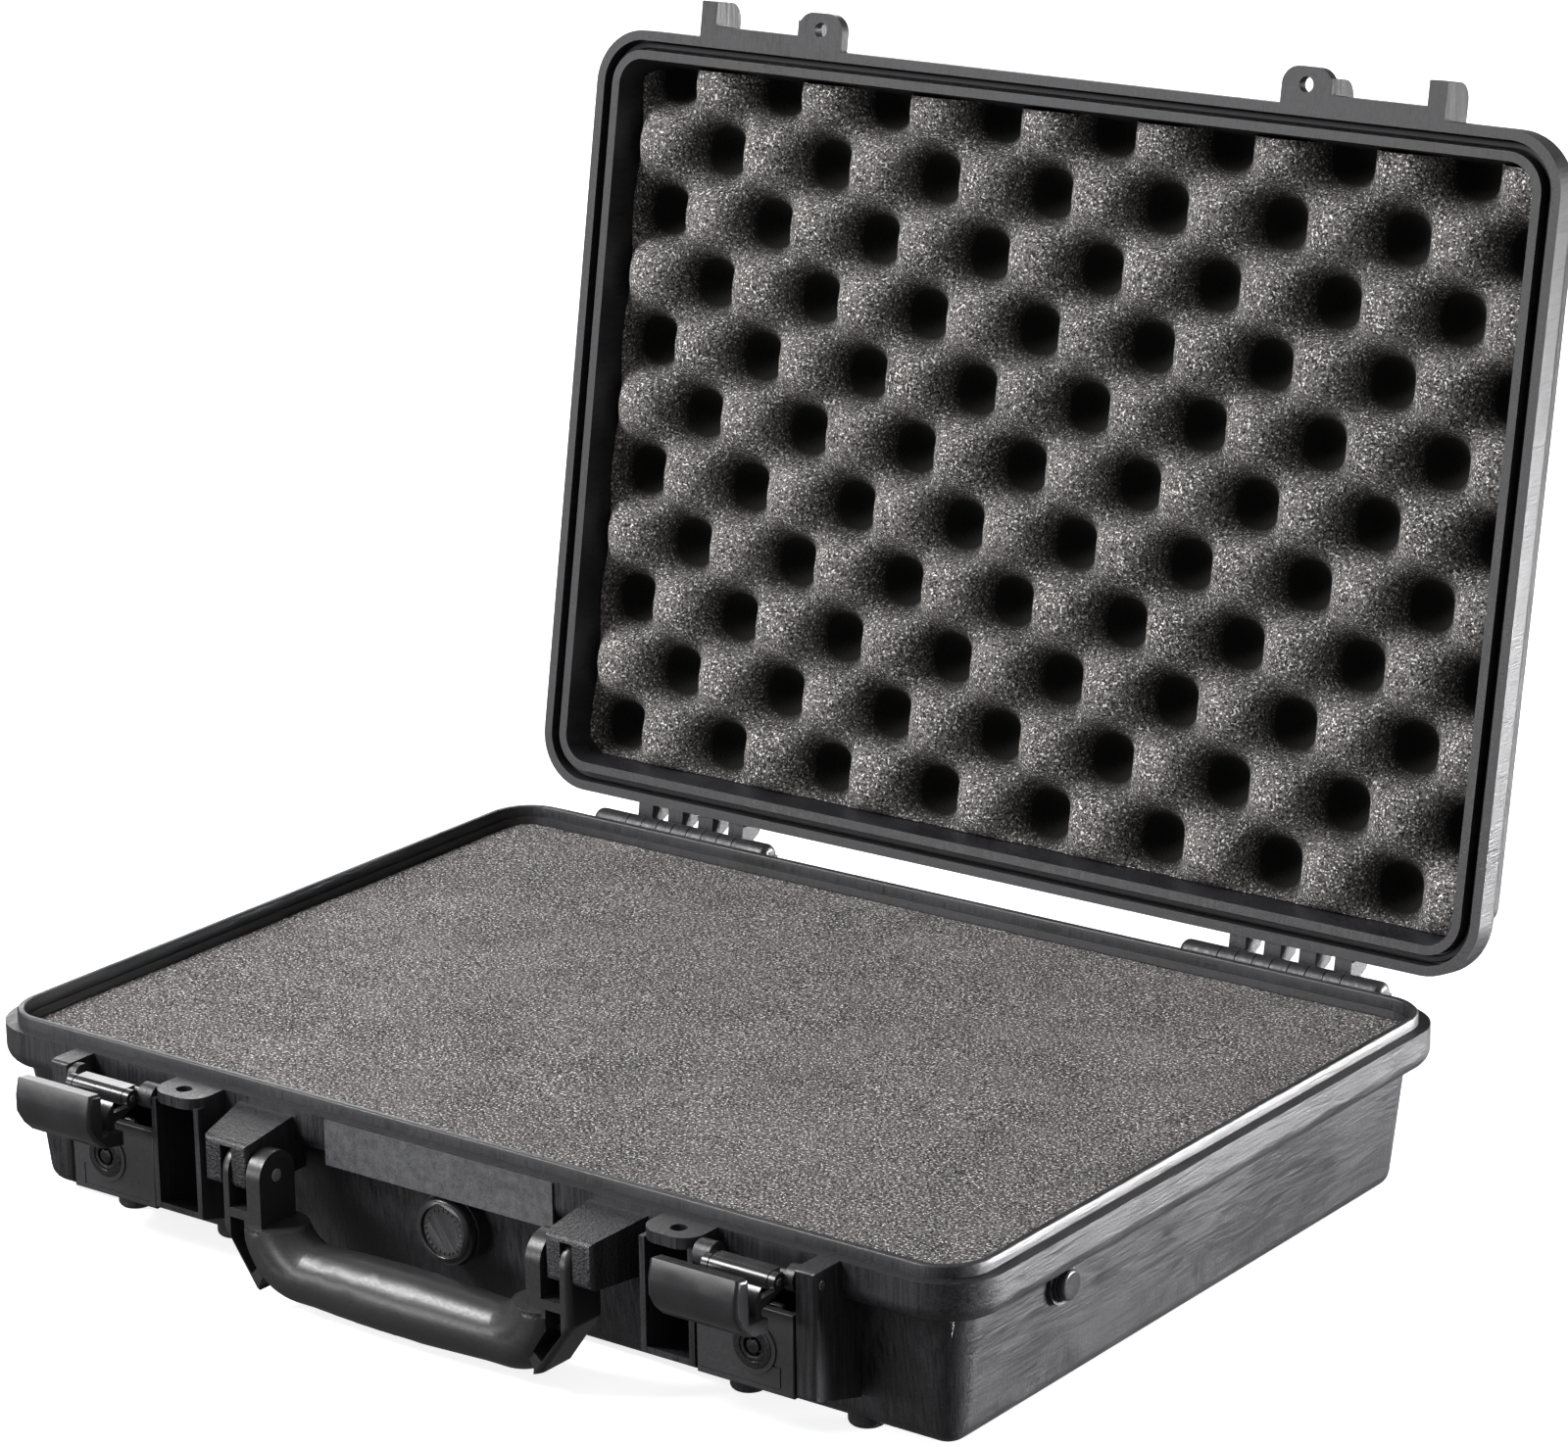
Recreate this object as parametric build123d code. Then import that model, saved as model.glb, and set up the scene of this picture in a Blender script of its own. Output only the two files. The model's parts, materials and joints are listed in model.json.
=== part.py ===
from build123d import *
from math import radians, tan
import os

# Hard-shell attache case, lid open. X runs along the long side, -Y is the
# front with latches and handle, +Y the hinge side, Z is up from the table.
# "Proud" is measured out from the front face of the rim, "drop" down from the
# parting line, "from_end" inwards from an end of the rim.

# Overall sizes
case_width = 430.0
case_depth = 304.0
parting_height = 65.0
lid_height = 45.0
corner_radius = 22.0
lid_open_angle = 99.7

# Moulded shells
foot_height = 2.5
flange_height = 15.0
flange_round = 6.5
base_wall_inset = 8.0
lid_wall_inset = 10.5
shell_draft = 6.5
shell_bottom_round = 7.0
floor_thickness = 3.2
base_rim_step = 0.4
cavity_draft = 8.5
lid_rim_step = 0.7
lid_cavity_draft = 7.0
parting_gap = 0.25
tongue_inset = 4.4
tongue_thickness = 2.7
tongue_height = 4.3
tongue_chamfer = 0.7
groove_clearance = 0.6
gasket_height = 2.4
gasket_gap = 0.4

# Feet and the pad under the middle of the tray
foot_radius = 6.5
inner_foot_from_end = 101.0
outer_foot_from_end = 53.0
foot_from_front = 21.0
rest_pad_width = 70.0
rest_pad_depth = 46.0

# Foam
foam_gap = 0.9
foam_lift = 0.3
foam_drop = 2.5
floor_pad_thickness = 2.4
lid_foam_recess = 5.0

# Hinges
hinge_proud = 9.3
hinge_drop = 2.2
hinge_from_end = 76.4
hinge_end_knuckle = 17.0
hinge_mid_knuckle = 7.5
hinge_mid_count = 7
hinge_axial_gap = 0.4
hinge_barrel_radius = 4.7
hinge_end_round = 2.6
hinge_pin_radius = 1.6
hinge_pin_margin = 3.0
hinge_leaf_reach = 14.0
hinge_leaf_tuck = 3.0
hinge_leaf_step = 3.2

# Latch stations, given for the one on the +X side
latch_from_end = 76.5
bay_width = 40.0
inner_box_width = 22.0
outer_rib_width = 8.5
station_proud = 13.6
station_root = 11.0
station_drop = 44.0
box_wall = 2.2
station_slope = 7.0
station_round = 2.0
tab_thickness = 4.0
tab_proud = 15.0
tab_round = 8.0
padlock_from_bay = 10.2
padlock_proud = 7.5
padlock_radius = 2.9

# Latch mechanism
latch_pin_proud = 9.4
latch_pin_drop = 5.0
latch_pin_radius = 1.65
pin_boss_radius = 4.6
inner_boss_length = 6.5
outer_boss_length = 3.5
latch_throw = 6.0
link_eye_radius = 3.2
link_pin_radius = 1.3
claw_inner_gap = 3.0
claw_outer_gap = 1.5
knuckle_width = 2.6
knuckle_gap = 0.4
claw_back = 9.6
claw_floor = 8.0
claw_depth = 13.0
claw_tab = 3.0
claw_mouth_far = 19.6
claw_top = 8.7
claw_front = 26.0
claw_round = 1.6
claw_arm_thickness = 3.0
claw_pin_gap = 0.55
keeper_proud = 4.5
keeper_height = 8.2

# Lid ears beside the latches
ear_proud = 14.0
ear_root = 6.0
ear_height = 16.0
ear_plate = 4.3
ear_wall = 3.5
ear_round = 7.0
outer_ear_width = 7.5
inner_ear_width = 20.5

# Key locks
lock_off_centre = 3.5
lock_drop = 30.7
plate_drop = 16.5
plate_height = 29.0
plate_proud = 13.2
plate_thickness = 2.5
plate_gap = 0.5
plate_ledge = 2.0
engraving_width = 0.5
engraving_depth = 0.4
engraving_margin = 2.0
engraving_side = 10.5
engraving_rise = 8.0
engraving_step = 3.0
collar_radius = 9.2
collar_proud = 0.6
lock_radius = 7.6
lock_proud = 0.9
lock_length = 12.0
plug_radius = 5.0
plug_proud = 0.5
keyway_outer_radius = 3.6
keyway_inner_radius = 2.5
keyway_depth = 4.0
key_notch = 1.2
cam_thickness = 2.0
cam_width = 6.0
cam_reach = 10.0
cam_gap = 0.6

# Carry handle
grip_half_length = 38.0
grip_radius = 12.0
grip_end_radius = 10.9
grip_core_radius = 4.0
grip_core_margin = 22.0
elbow_bend = 22.0
heel_bend = 14.0
elbow_step = 0.3
handle_drop = 32.5
handle_pin_proud = 16.5
handle_pin_drop = 17.5
handle_pin_radius = 2.3
handle_pin_tail = 4.1
eye_radius = 8.8
prong_offset = 1.8
inner_prong = 6.2
fork_gap = 8.1
outer_prong = 3.9
fork_depth = 12.0
arm_straight = 17.0
arm_round = 2.5
arm_skirt = 3.4
arm_toe_reach = 3.4
arm_toe_drop = 39.0
arm_sole_reach = 8.0
arm_sole_drop = 42.0
arm_window = 3.4
window_knee_drop = 23.0
window_toe_drop = 34.5
window_toe_width = 3.0
window_toe_reach = 3.8
seam_top_reach = 4.8
seam_knee_drop = 23.5
seam_waist_reach = 0.7
seam_waist_drop = 32.5
seam_toe_reach = 0.5
seam_toe_drop = 38.0

# Pads that carry the handle
pad_front_width = 19.5
pad_back_width = 26.0
pad_proud = 24.0
pad_root = 6.0
pad_drop = 23.0
pad_front_drop = 6.6
pad_back_drop = 2.0
pad_round = 2.5
pad_side_gap = 0.6
pad_slot_gap = 0.6
pad_slot_relief = 0.9

# Blank panel, pressure valve and strap studs
panel_margin = 15.0
panel_drop = 17.0
panel_proud = 0.8
valve_drop = 30.5
valve_radius = 12.0
valve_face_radius = 9.0
valve_recess = 0.5
valve_flange = 4.5
valve_boss_radius = 13.0
valve_stem_radius = 5.0
valve_stem_length = 5.0
valve_seal_radius = 8.0
valve_seal_section = 1.5
valve_rib_count = 24
stud_from_front = 67.6
stud_drop = 21.6
stud_recess = 0.2
stud_radius = 5.4
stud_height = 2.6
stud_washer_radius = 6.2
stud_washer = 1.0
stud_boss_radius = 7.5
stud_shank_radius = 2.0
stud_shank_length = 3.4

# Fits, small rounds, and how far a cut runs past what it cuts
press_gap = 0.02
running_gap = 0.06
small_round = 0.6
cut_past = 1.0
edge_band = 0.01

# Places that follow from the sizes above
front_face = -case_depth / 2
rear_face = case_depth / 2
end_face = case_width / 2
closed_height = parting_height + lid_height
tray_floor = foot_height + floor_thickness
flange_bottom = parting_height - flange_height
lid_bottom = parting_height + parting_gap
lid_flange_top = lid_bottom + flange_height
cavity_inset = base_wall_inset + base_rim_step
lid_cavity_inset = lid_wall_inset + lid_rim_step
tongue_top = parting_height + tongue_height
groove_top = tongue_top + gasket_gap + gasket_height
lid_ceiling = closed_height - floor_thickness
foot_columns = (end_face - inner_foot_from_end, end_face - outer_foot_from_end)
foot_row = rear_face - foot_from_front
hinge_y = rear_face + hinge_proud
hinge_z = parting_height - hinge_drop
hinge_centre_x = end_face - hinge_from_end
latch_x = end_face - latch_from_end
bay_inner_x = latch_x - bay_width / 2
bay_outer_x = latch_x + bay_width / 2
inner_box_x = bay_inner_x - inner_box_width
outer_rib_x = bay_outer_x + outer_rib_width
station_front = rear_face + station_proud
station_back = rear_face - station_root
station_low = parting_height - station_drop
tab_front = rear_face + tab_proud
padlock_x = bay_inner_x - padlock_from_bay
padlock_y = rear_face + padlock_proud
latch_pin_y = rear_face + latch_pin_proud
latch_pin_z = parting_height - latch_pin_drop
link_pin_y = latch_pin_y + latch_throw
inner_boss_x = bay_inner_x + inner_boss_length
outer_boss_x = bay_outer_x - outer_boss_length
claw_inner_x = bay_inner_x + claw_inner_gap
claw_outer_x = bay_outer_x - claw_outer_gap
ear_front = rear_face + ear_proud
ear_back = rear_face - ear_root
outer_ear_x = bay_outer_x + outer_ear_width
inner_ear_x = bay_inner_x - inner_ear_width
lock_x = latch_x + lock_off_centre
lock_z = parting_height - lock_drop
plate_top = parting_height - plate_drop
plate_bottom = plate_top - plate_height
plate_front = rear_face + plate_proud
handle_pin_y = rear_face + handle_pin_proud
handle_pin_z = parting_height - handle_pin_drop
grip_z = handle_pin_z - handle_drop
elbow_x = grip_half_length + elbow_bend
arm_inner_x = elbow_x - prong_offset
inner_prong_x = (arm_inner_x, arm_inner_x + inner_prong)
outer_prong_x = (inner_prong_x[1] + fork_gap, inner_prong_x[1] + fork_gap + outer_prong)
handle_pin_end_x = outer_prong_x[1] + handle_pin_tail
pad_inner_x = inner_prong_x[1] + pad_side_gap
pad_front_x = pad_inner_x + pad_front_width
pad_back_x = pad_inner_x + pad_back_width
pad_front = rear_face + pad_proud
pad_back = rear_face - pad_root
pad_bottom = parting_height - pad_drop
pad_front_top = parting_height - pad_front_drop
pad_back_top = parting_height - pad_back_drop
pad_slot_back = handle_pin_y - eye_radius - pad_slot_relief
panel_half_width = pad_inner_x - panel_margin
panel_bottom = parting_height - panel_drop
valve_z = parting_height - valve_drop
valve_front = rear_face - valve_recess
stud_y = rear_face - stud_from_front
stud_z = parting_height - stud_drop
stud_face_x = end_face - base_wall_inset - stud_recess


def outline(inset, height, radius=corner_radius):
    """Rounded rectangle of the case, inset from the flange, at a height."""
    wide = case_width - 2 * inset
    deep = case_depth - 2 * inset
    return Pos(0, 0, height) * RectangleRounded(wide, deep, radius - inset)


def drafted(inset, height, travel, draft, radius=corner_radius):
    """Outline pulled up or down from its height, shrinking with the draft."""
    pull = (0, 0, 1 if travel > 0 else -1)
    return extrude(outline(inset, height, radius), amount=abs(travel), dir=pull, taper=draft)


def slab(inset, low, high):
    """Straight-sided slab of the case outline between two heights."""
    return extrude(outline(inset, low), amount=high - low)


def block(x_span, y_span, z_span):
    """Box between two limits on each axis."""
    mid = [(span[0] + span[1]) / 2 for span in (x_span, y_span, z_span)]
    size = [abs(span[1] - span[0]) for span in (x_span, y_span, z_span)]
    return Pos(*mid) * Box(*size)


def rod_x(start, end, y, z, radius):
    """Round bar along X."""
    return Pos((start + end) / 2, y, z) * Rot(0, 90, 0) * Cylinder(radius, abs(end - start))


def rod_y(start, end, x, z, radius):
    """Round bar along Y."""
    return Pos(x, (start + end) / 2, z) * Rot(90, 0, 0) * Cylinder(radius, abs(end - start))


def rod_z(start, end, x, y, radius):
    """Round bar along Z."""
    return Pos(x, y, (start + end) / 2) * Cylinder(radius, abs(end - start))


def side_prism(points, start, end):
    """Profile drawn in Y and Z, pulled along X."""
    face = make_face(Plane.YZ.offset(start) * Polyline(*points, close=True))
    return extrude(face, amount=end - start, dir=(1, 0, 0))


def front_prism(points, start, end):
    """Profile drawn in X and Z, pulled along Y."""
    spots = [(x, start, z) for x, z in points]
    face = make_face(Polyline(*spots, close=True))
    return extrude(face, amount=end - start, dir=(0, 1, 0))


def mirrored(shape):
    """Same shape on the other side of the case."""
    return mirror(shape, about=Plane.YZ)


def both_sides(shape):
    """Shape together with its mirror image."""
    return shape + mirrored(shape)


def opened(shape):
    """Swing a piece of the closed lid to its open stop."""
    hinge_axis = Axis((0, hinge_y, hinge_z), (1, 0, 0))
    return shape.rotate(hinge_axis, -lid_open_angle)


def edges_at(shape, axis, value):
    """Edges of a shape that lie in one plane."""
    return shape.edges().filter_by_position(axis, value - edge_band, value + edge_band)


def is_along_x(edge):
    """True for an edge that keeps its height and depth."""
    size = edge.bounding_box().size
    return size.Y < edge_band and size.Z < edge_band


def knuckle_spans():
    """X limits of every knuckle of one hinge, from its inner end."""
    total = 2 * hinge_end_knuckle + hinge_mid_count * hinge_mid_knuckle
    lengths = [hinge_end_knuckle] + hinge_mid_count * [hinge_mid_knuckle] + [hinge_end_knuckle]
    spans = []
    start = hinge_centre_x - total / 2
    for length in lengths:
        spans.append((start + hinge_axial_gap / 2, start + length - hinge_axial_gap / 2))
        start += length
    return spans


def hinge_leaves(upward):
    """Knuckles and leaves of one half of a hinge; the lid half points up."""
    side = 1 if upward else -1
    root = rear_face - hinge_leaf_tuck
    edge = hinge_z + side * hinge_leaf_step
    crest = hinge_y + hinge_barrel_radius - press_gap
    profile = [
        (root, edge),
        (root, edge + side * hinge_leaf_reach),
        (hinge_y - hinge_barrel_radius, edge + side * (hinge_leaf_reach - hinge_leaf_step)),
        (crest, hinge_z + side * small_round),
        (hinge_y, hinge_z),
        (hinge_y - hinge_barrel_radius + small_round, edge),
    ]
    spans = knuckle_spans()
    chosen = spans[1::2] if upward else spans[0::2]
    leaves = Part()
    for span in chosen:
        barrel = rod_x(span[0], span[1], hinge_y, hinge_z, hinge_barrel_radius)
        if span == spans[0]:
            barrel = fillet(edges_at(barrel, Axis.X, span[0]), hinge_end_round)
        if span == spans[-1]:
            barrel = fillet(edges_at(barrel, Axis.X, span[1]), hinge_end_round)
        leaves += barrel + side_prism(profile, span[0], span[1])
    bore = hinge_pin_radius + (running_gap if upward else press_gap)
    hole_start = spans[0][0] + hinge_pin_margin
    hole_end = spans[-1][1] - hinge_pin_margin
    leaves -= rod_x(hole_start, hole_end, hinge_y, hinge_z, bore)
    return leaves


def hinge_pin():
    """Steel pin through one hinge."""
    spans = knuckle_spans()
    start = spans[0][0] + hinge_pin_margin
    end = spans[-1][1] - hinge_pin_margin
    return rod_x(start, end, hinge_y, hinge_z, hinge_pin_radius)


def station_profile(top):
    """Side profile of a station rib, undercut towards the tray wall."""
    return [
        (-station_front, top),
        (-station_front, station_low),
        (-station_back, station_low - station_slope),
        (-station_back, top),
    ]


def station_floor():
    """Sloped strip that closes the underside of a station."""
    return [
        (-station_front, station_low),
        (-station_back, station_low - station_slope),
        (-station_back, station_low - station_slope + box_wall),
        (-station_front, station_low + box_wall),
    ]


def latch_station():
    """Ribs, padlock tab and pin bosses of the +X latch on the tray."""
    tab_low = parting_height - tab_thickness
    profile = station_profile(tab_low + small_round)
    station = side_prism(profile, inner_box_x, inner_box_x + box_wall)
    station += side_prism(profile, bay_inner_x - box_wall, bay_inner_x)
    station += side_prism(station_floor(), inner_box_x, bay_inner_x)
    rib = side_prism(station_profile(parting_height), bay_outer_x, outer_rib_x)
    station += fillet(edges_at(rib, Axis.Y, -station_front), station_round)
    bay_floor = side_prism(station_floor(), bay_inner_x, bay_outer_x)
    plate_y = (-station_front - cut_past, -plate_front + plate_thickness)
    bay_floor -= block((bay_inner_x, bay_outer_x), plate_y, (0, latch_pin_z))
    station += bay_floor
    tab = block((inner_box_x, bay_inner_x), (-tab_front, -station_back), (tab_low, parting_height))
    tab = fillet(edges_at(tab, Axis.Y, -tab_front).filter_by(Axis.Z), tab_round)
    station += tab
    station += rod_x(bay_inner_x, inner_boss_x, -latch_pin_y, latch_pin_z, pin_boss_radius)
    station += rod_x(outer_boss_x, bay_outer_x, -latch_pin_y, latch_pin_z, pin_boss_radius)
    ledge_back = -plate_front + plate_thickness + plate_ledge
    for ledge in ((bay_inner_x, bay_inner_x + plate_ledge), (bay_outer_x - plate_ledge, bay_outer_x)):
        station += block(ledge, (-plate_front + plate_thickness, ledge_back), (plate_bottom, plate_top))
    station -= rod_z(tab_low - cut_past, parting_height + cut_past, padlock_x, -padlock_y, padlock_radius)
    bore = latch_pin_radius + press_gap
    station -= rod_x(bay_inner_x - box_wall, outer_rib_x, -latch_pin_y, latch_pin_z, bore)
    return station


def handle_pad():
    """Block moulded on the tray that carries the +X end of the handle."""
    plan = make_face(
        Polyline(
            (pad_inner_x, -pad_back, pad_bottom),
            (pad_inner_x, -pad_front, pad_bottom),
            (pad_front_x, -pad_front, pad_bottom),
            (pad_back_x, -pad_back, pad_bottom),
            close=True,
        )
    )
    pad = extrude(plan, amount=parting_height - pad_bottom, dir=(0, 0, 1))
    slope = [
        (-pad_back, pad_back_top),
        (-pad_front - cut_past, pad_front_top),
        (-pad_front - cut_past, parting_height + cut_past),
        (-pad_back, parting_height + cut_past),
    ]
    pad -= side_prism(slope, pad_inner_x - cut_past, pad_back_x + cut_past)
    pad = fillet(pad.faces().sort_by(Axis.Y)[0].edges(), pad_round)
    slot_x = (outer_prong_x[0] - pad_slot_gap, outer_prong_x[1] + pad_slot_gap)
    slot_top = handle_pin_z + eye_radius + pad_slot_gap
    pad -= block(slot_x, (-pad_front - cut_past, -pad_slot_back), (pad_bottom - cut_past, slot_top))
    pin_bore = handle_pin_radius + press_gap
    pad -= rod_x(pad_inner_x - cut_past, handle_pin_end_x, -handle_pin_y, handle_pin_z, pin_bore)
    return pad


def base_shell():
    """Lower tray with its flange, tongue, stations, pads, hinges and feet."""
    wall_height = flange_bottom - foot_height + flange_round
    tray = drafted(base_wall_inset, flange_bottom + flange_round, -wall_height, shell_draft)
    tray = fillet(edges_at(tray, Axis.Z, foot_height), shell_bottom_round)
    flange = slab(0, flange_bottom, parting_height)
    tray += fillet(edges_at(flange, Axis.Z, flange_bottom), flange_round)
    tray += both_sides(latch_station())
    tray += both_sides(handle_pad())
    tray += both_sides(hinge_leaves(False))
    panel_x = (-panel_half_width, panel_half_width)
    panel_y = (front_face - panel_proud, front_face + base_wall_inset)
    tray += block(panel_x, panel_y, (panel_bottom, parting_height - small_round))
    valve_seat = -valve_front + valve_flange
    tray += rod_y(valve_seat, front_face + 2 * base_wall_inset, 0, valve_z, valve_boss_radius)
    stud_boss = rod_x(stud_face_x - 2 * stud_shank_length, stud_face_x, -stud_y, stud_z, stud_boss_radius)
    tray += both_sides(stud_boss)
    for column in foot_columns:
        for row in (-foot_row, foot_row):
            foot = rod_z(0, shell_bottom_round, column, row, foot_radius)
            foot = fillet(edges_at(foot, Axis.Z, 0), foot_height - small_round)
            tray += both_sides(foot)
    rest_pad = RectangleRounded(rest_pad_width, rest_pad_depth, foot_radius)
    tray += extrude(rest_pad, amount=foot_height + floor_thickness / 2)
    cavity_depth = parting_height - tray_floor
    tray -= drafted(cavity_inset, parting_height, -cavity_depth, cavity_draft)
    tongue = slab(tongue_inset, parting_height, tongue_top)
    tongue -= slab(tongue_inset + tongue_thickness, parting_height, tongue_top)
    tray += chamfer(edges_at(tongue, Axis.Z, tongue_top), tongue_chamfer)
    tray -= rod_y(valve_seat, valve_seat + valve_stem_length, 0, valve_z, valve_stem_radius + press_gap)
    stem = valve_seal_radius + valve_seal_section / 2
    seal_depth = valve_seat + valve_seal_section
    seal_groove = rod_y(valve_seat, seal_depth, 0, valve_z, stem)
    seal_groove -= rod_y(valve_seat, seal_depth, 0, valve_z, stem - valve_seal_section)
    tray -= seal_groove
    shank_bore = stud_shank_radius + press_gap
    shank = rod_x(stud_face_x - stud_shank_length, stud_face_x, -stud_y, stud_z, shank_bore)
    tray -= both_sides(shank)
    return tray


def lid_ears():
    """Guard ears, keeper lip and padlock hole at the +X latch on the lid."""
    top = lid_bottom + ear_height
    plate_x = (inner_ear_x, bay_inner_x + small_round)
    plate = block(plate_x, (-ear_front, -ear_back), (lid_bottom, lid_bottom + ear_plate))
    plate = fillet(edges_at(plate, Axis.Y, -ear_front).filter_by(Axis.Z), ear_round)
    wall_x = (bay_inner_x + small_round - ear_wall, bay_inner_x + small_round)
    wall_front = -ear_front + ear_round / 2
    wall = block(wall_x, (wall_front, -ear_back), (lid_bottom, top))
    wall = fillet(edges_at(wall, Axis.Y, wall_front).filter_by(Axis.X).sort_by(Axis.Z)[-1:], ear_round)
    guard = block((bay_outer_x, outer_ear_x), (-ear_front, -ear_back), (lid_bottom, top))
    guard = fillet(edges_at(guard, Axis.Y, -ear_front).filter_by(Axis.X).sort_by(Axis.Z)[-1:], ear_round)
    keeper_y = (front_face - keeper_proud, front_face + base_wall_inset)
    keeper = block((bay_inner_x, bay_outer_x), keeper_y, (lid_bottom, lid_bottom + keeper_height))
    ears = plate + wall + guard + keeper
    ears -= rod_z(lid_bottom - cut_past, top, padlock_x, -padlock_y, padlock_radius)
    return ears


def closed_lid_shell():
    """Lid shell in its closed position, groove and hinge leaves included."""
    wall_start = lid_flange_top - flange_round
    wall_height = closed_height - wall_start
    lid = drafted(lid_wall_inset, wall_start, wall_height, shell_draft)
    lid = fillet(edges_at(lid, Axis.Z, closed_height), shell_bottom_round)
    flange = slab(0, lid_bottom, lid_flange_top)
    lid += fillet(edges_at(flange, Axis.Z, lid_flange_top), flange_round)
    lid += both_sides(lid_ears())
    lid += both_sides(hinge_leaves(True))
    cavity_depth = lid_ceiling - lid_bottom
    lid -= drafted(lid_cavity_inset, lid_bottom, cavity_depth, lid_cavity_draft)
    groove_outer = tongue_inset - groove_clearance
    groove_inner = tongue_inset + tongue_thickness + groove_clearance
    groove = slab(groove_outer, lid_bottom, groove_top)
    groove -= slab(groove_inner, lid_bottom, groove_top)
    return lid - groove


def closed_gasket():
    """Sealing cord pressed into the bottom of the lid groove."""
    cord = slab(tongue_inset, groove_top - gasket_height, groove_top)
    cord -= slab(tongue_inset + tongue_thickness, groove_top - gasket_height, groove_top)
    low = edges_at(cord, Axis.Z, groove_top - gasket_height)
    return fillet(low, gasket_height / 3)


def closed_lid_foam():
    """Convoluted lid foam as the plain block it is cut from."""
    low = parting_height + lid_foam_recess
    high = lid_ceiling - foam_lift
    rise = low - lid_bottom
    inset = lid_cavity_inset + foam_gap + rise * tan(radians(lid_cavity_draft))
    return drafted(inset, low, high - low, lid_cavity_draft)


def base_foam():
    """Foam block that fills the tray up to just under the rim."""
    high = parting_height - foam_drop
    low = tray_floor + floor_pad_thickness + 2 * foam_lift
    inset = cavity_inset + foam_gap + foam_drop * tan(radians(cavity_draft))
    return drafted(inset, high, low - high, cavity_draft)


def floor_pad():
    """Thin foam sheet on the tray floor."""
    low = tray_floor + foam_lift
    high = low + floor_pad_thickness
    inset = cavity_inset + foam_gap + (parting_height - high) * tan(radians(cavity_draft))
    return drafted(inset, high, low - high, cavity_draft)


def latch_pin():
    """Steel pin riveted across a latch bay."""
    return rod_x(bay_inner_x - box_wall, outer_rib_x, -latch_pin_y, latch_pin_z, latch_pin_radius)


def claw_knuckles():
    """X limits of the two knuckles of the claw."""
    inner = (inner_boss_x + knuckle_gap, inner_boss_x + knuckle_gap + knuckle_width)
    outer = (outer_boss_x - knuckle_gap - knuckle_width, outer_boss_x - knuckle_gap)
    return inner, outer


def latch_link():
    """Cradle that snaps under the bay pin and carries the claw's pin."""
    inner, outer = claw_knuckles()
    span = (inner[1] + knuckle_gap, outer[0] - knuckle_gap)
    link = rod_x(span[0], span[1], -latch_pin_y, latch_pin_z, link_eye_radius)
    link += rod_x(span[0], span[1], -link_pin_y, latch_pin_z, link_eye_radius)
    eye_low = latch_pin_z - link_eye_radius
    link += block(span, (-link_pin_y, -latch_pin_y), (eye_low, latch_pin_z + link_eye_radius))
    mouth_y = (-latch_pin_y - latch_pin_radius, -latch_pin_y + 2 * link_eye_radius)
    link -= block(span, mouth_y, (latch_pin_z + small_round, latch_pin_z + 2 * link_eye_radius))
    link -= rod_x(span[0], span[1], -latch_pin_y, latch_pin_z, latch_pin_radius + running_gap)
    link -= rod_x(span[0], span[1], -link_pin_y, latch_pin_z, link_pin_radius + press_gap)
    return link


def link_pin():
    """Second pin of the latch, fixed in the link and turning in the claw."""
    inner, outer = claw_knuckles()
    return rod_x(inner[0], outer[1], -link_pin_y, latch_pin_z, link_pin_radius)


def claw_point(reach, rise):
    """Point of the claw profile, measured outwards and up from the link pin."""
    return (-link_pin_y - reach, latch_pin_z + rise)


def latch_claw():
    """Pull and hook of a latch: outer lip, notch for the keeper, back tab."""
    inner, outer = claw_knuckles()
    body_profile = [
        claw_point(claw_back, -claw_depth),
        claw_point(claw_back, -claw_floor),
        claw_point(claw_mouth_far, -claw_floor + small_round),
        claw_point(claw_mouth_far, claw_top),
        claw_point(claw_front - claw_round, claw_top + small_round),
        claw_point(claw_front, claw_tab),
        claw_point(claw_front, -claw_tab),
        claw_point(claw_front - claw_tab, -claw_floor),
        claw_point(claw_mouth_far, -claw_depth + claw_round),
    ]
    body = side_prism(body_profile, claw_inner_x, claw_outer_x)
    nose_y = (-link_pin_y - claw_front - cut_past, -link_pin_y - claw_mouth_far - edge_band)
    for end_x in (claw_inner_x, claw_outer_x):
        rim = edges_at(body, Axis.X, end_x).filter_by_position(Axis.Y, *nose_y)
        body = fillet(rim, claw_round)
    tab_profile = [
        claw_point(claw_back, -claw_depth),
        claw_point(claw_back, claw_round),
        claw_point(claw_back + claw_tab, -claw_tab + claw_round),
        claw_point(claw_back + claw_tab, -claw_depth),
    ]
    claw = body + side_prism(tab_profile, inner[0], outer[1])
    arm_top = -latch_pin_radius - claw_pin_gap
    arm_profile = [
        claw_point(0, 0),
        claw_point(-arm_top, arm_top),
        claw_point(claw_back + small_round, arm_top),
        claw_point(claw_back + small_round, -link_eye_radius - claw_arm_thickness),
        claw_point(0, -link_eye_radius),
    ]
    for span in (inner, outer):
        claw += rod_x(span[0], span[1], -link_pin_y, latch_pin_z, link_eye_radius)
        claw += side_prism(arm_profile, span[0], span[1])
    bore = link_pin_radius + running_gap
    return claw - rod_x(inner[0], outer[1], -link_pin_y, latch_pin_z, bore)


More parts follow.
